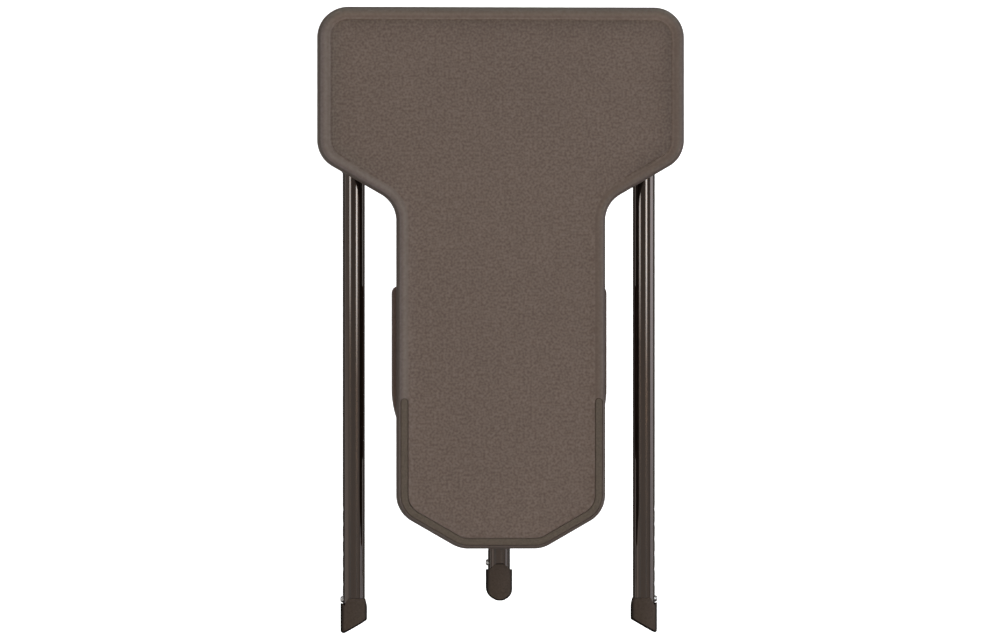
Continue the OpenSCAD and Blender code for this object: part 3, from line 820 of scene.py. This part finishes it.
# a dark flag just above the floor, seen in reflections only, which keeps the outlines of glossy tubes dark
under_me = mesh_from("card_under", [(1.5 * math.cos(k * math.pi / 16), 1.5 * math.sin(k * math.pi / 16), -0.518) for k in range(32)], [tuple(range(32))], smooth=False)
under_m = bpy.data.materials.new("card_under")
under_m.use_nodes = True
under_b = under_m.node_tree.nodes["Principled BSDF"]
under_b.inputs["Base Color"].default_value = (0, 0, 0, 1)
under_b.inputs["Specular IOR Level"].default_value = 0.0
under_b.inputs["Emission Color"].default_value = (1, 0.96, 0.92, 1)
under_b.inputs["Emission Strength"].default_value = 0.2
under_me.materials.append(under_m)
under = bpy.data.objects.new("card_under", under_me)
sc.collection.objects.link(under)
under.visible_camera = False
under.visible_shadow = False
under.visible_diffuse = False

floor_me = mesh_from("floor", [(-30, -30, -0.52), (30, -30, -0.52), (30, 30, -0.52), (-30, 30, -0.52)], [(0, 1, 2, 3)], smooth=False)
fm = bpy.data.materials.new("floor")
fm.use_nodes = True
fb = fm.node_tree.nodes["Principled BSDF"]
fb.inputs["Base Color"].default_value = (0.9, 0.9, 0.9, 1)
fb.inputs["Roughness"].default_value = 0.9
fb.inputs["Specular IOR Level"].default_value = 0.1
fb.inputs["Emission Color"].default_value = (1, 1, 1, 1)
fb.inputs["Emission Strength"].default_value = 0.6
# the pool of light on the floor falls off away from the object
ft = fm.node_tree
f_geo = ft.nodes.new("ShaderNodeNewGeometry")
f_len = ft.nodes.new("ShaderNodeVectorMath")
f_len.operation = "LENGTH"
ft.links.new(f_geo.outputs["Position"], f_len.inputs[0])
f_map = ft.nodes.new("ShaderNodeMapRange")
f_map.interpolation_type = "SMOOTHSTEP"
f_map.inputs["From Min"].default_value = 0.9
f_map.inputs["From Max"].default_value = 2.4
f_map.inputs["To Min"].default_value = 0.75
f_map.inputs["To Max"].default_value = 0.22
ft.links.new(f_len.outputs["Value"], f_map.inputs["Value"])
ft.links.new(f_map.outputs["Result"], fb.inputs["Emission Strength"])
# the floor is one-sided, so that the object's underside can be looked at from below
f_clear = ft.nodes.new("ShaderNodeBsdfTransparent")
f_mix = ft.nodes.new("ShaderNodeMixShader")
ft.links.new(f_geo.outputs["Backfacing"], f_mix.inputs["Fac"])
ft.links.new(fb.outputs[0], f_mix.inputs[1])
ft.links.new(f_clear.outputs[0], f_mix.inputs[2])
ft.links.new(f_mix.outputs[0], ft.nodes["Material Output"].inputs["Surface"])
floor_me.materials.append(fm)
floor = bpy.data.objects.new("floor", floor_me)
sc.collection.objects.link(floor)

world = bpy.data.worlds.new("studio")
sc.world = world
world.use_nodes = True
bg = world.node_tree.nodes["Background"]
bg.inputs["Color"].default_value = (1, 1, 1, 1)
bg.inputs["Strength"].default_value = 0.3


def area(name, loc, size, power, colour=(1, 1, 1), target=(0, 0.05, 0.03)):
    ld = bpy.data.lights.new(name, "AREA")
    ld.shape = "RECTANGLE"
    ld.size, ld.size_y = size
    ld.energy = power
    ld.color = colour
    ob = bpy.data.objects.new(name, ld)
    sc.collection.objects.link(ob)
    ob.location = loc
    ob.rotation_euler = (Vector(target) - Vector(loc)).to_track_quat("-Z", "Y").to_euler()
    ob.visible_camera = False
    return ob


area("soft_front", (-0.3, -3.4, 3.2), (2.4, 1.6), 26, (1, 0.985, 0.965))
area("soft_back", (-0.3, 3.6, 3.2), (2.4, 1.6), 22, (1, 0.985, 0.965))

# camera: straight above the seat, a little to its left, with a long lens
cam_d = bpy.data.cameras.new("camera")
cam = bpy.data.objects.new("camera", cam_d)
sc.collection.objects.link(cam)
TILT = math.radians(4.4)
dist = 9.0
aim = Vector((-0.0014, 0.0, 0.045))
back = Vector((-math.sin(TILT), 0, math.cos(TILT)))
cam.location = aim + back * dist
right = Vector((math.cos(TILT), 0, math.sin(TILT)))
up = Vector((0, 1, 0))
cam.matrix_world = Matrix.Translation(cam.location) @ Matrix(((right.x, up.x, back.x), (right.y, up.y, back.y), (right.z, up.z, back.z))).to_4x4()
cam_d.sensor_width = 36
cam_d.lens = 36 * dist * 1.003
cam_d.clip_start, cam_d.clip_end = 0.1, 100
sc.camera = cam
